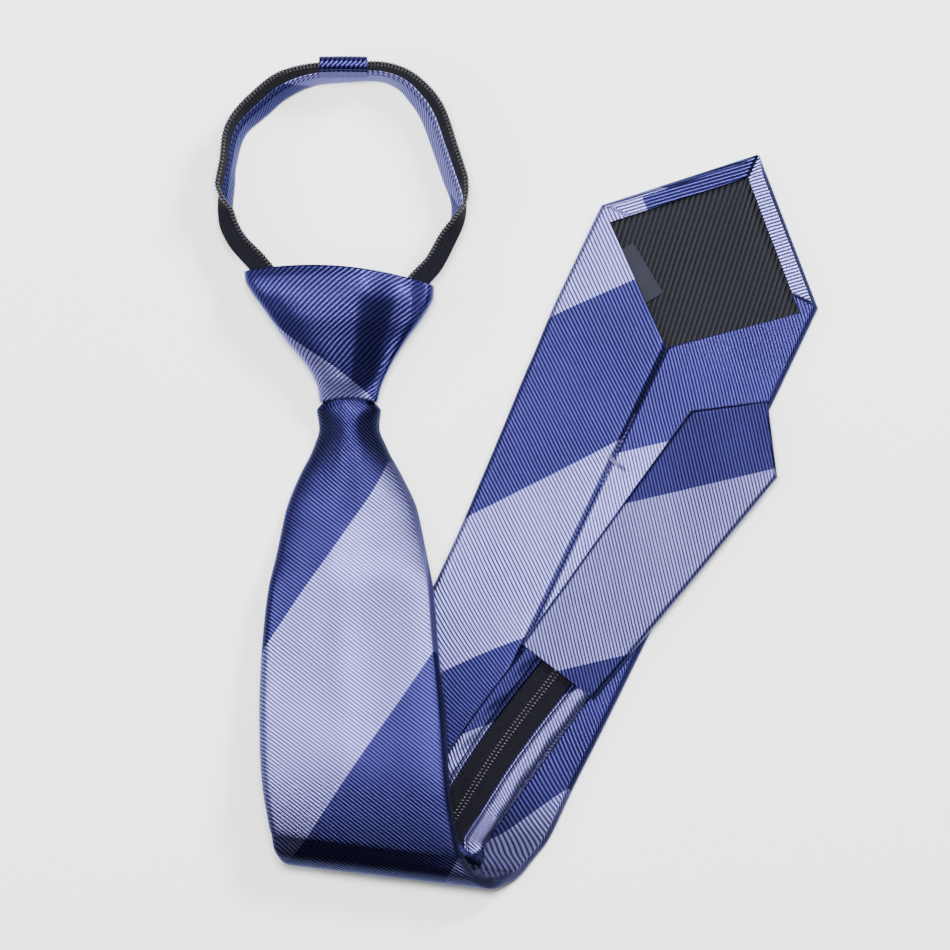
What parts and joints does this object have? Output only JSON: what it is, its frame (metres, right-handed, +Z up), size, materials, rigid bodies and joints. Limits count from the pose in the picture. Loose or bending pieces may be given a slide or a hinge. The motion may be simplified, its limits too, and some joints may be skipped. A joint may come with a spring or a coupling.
{
  "type": "zipper necktie",
  "caption": "Pre-knotted striped necktie with a zip neck loop, lying folded: wide blade turned under, its back showing, and the narrow zipped tail laid over it.",
  "frame": {"origin": "on the table, under the middle of the whole tie's bounding box", "axes": "+Z up from the table, +Y from the fold towards the neck loop, +X to the right in the top view"},
  "size_m": [0.2, 0.2772, 0.0201],
  "materials": {
    "silk_navy": "ribbed satin weave in wide diagonal bands of navy and lavender",
    "silk_lavender": "ribbed satin weave in wide diagonal bands of lavender and navy",
    "tipping_slate": "dark twill with bold ribs",
    "label_cloth": "plain woven label, bare",
    "tape_black": "knitted zip tape",
    "coil_black": "nylon zip coil, satin",
    "slider_metal": "black lacquered"
  },
  "bodies": {
    "root": {"blade": "silk_navy", "tipping": "tipping_slate", "label": "label_cloth", "knot_wrap": "silk_navy", "zip_slider": "slider_metal", "tail_blade": "silk_lavender", "tail_coil": "coil_black", "tail_tape_left": "tape_black", "tail_tape_right": "tape_black", "tail_band_left": "silk_navy", "tail_band_right": "silk_navy", "neck_band_left": "silk_navy", "neck_band_right": "silk_navy", "neck_tape_left": "tape_black", "neck_tape_right": "tape_black", "neck_coil_left": "coil_black", "neck_coil_right": "coil_black", "neck_keeper": "silk_navy"}
  },
  "joints": []
}
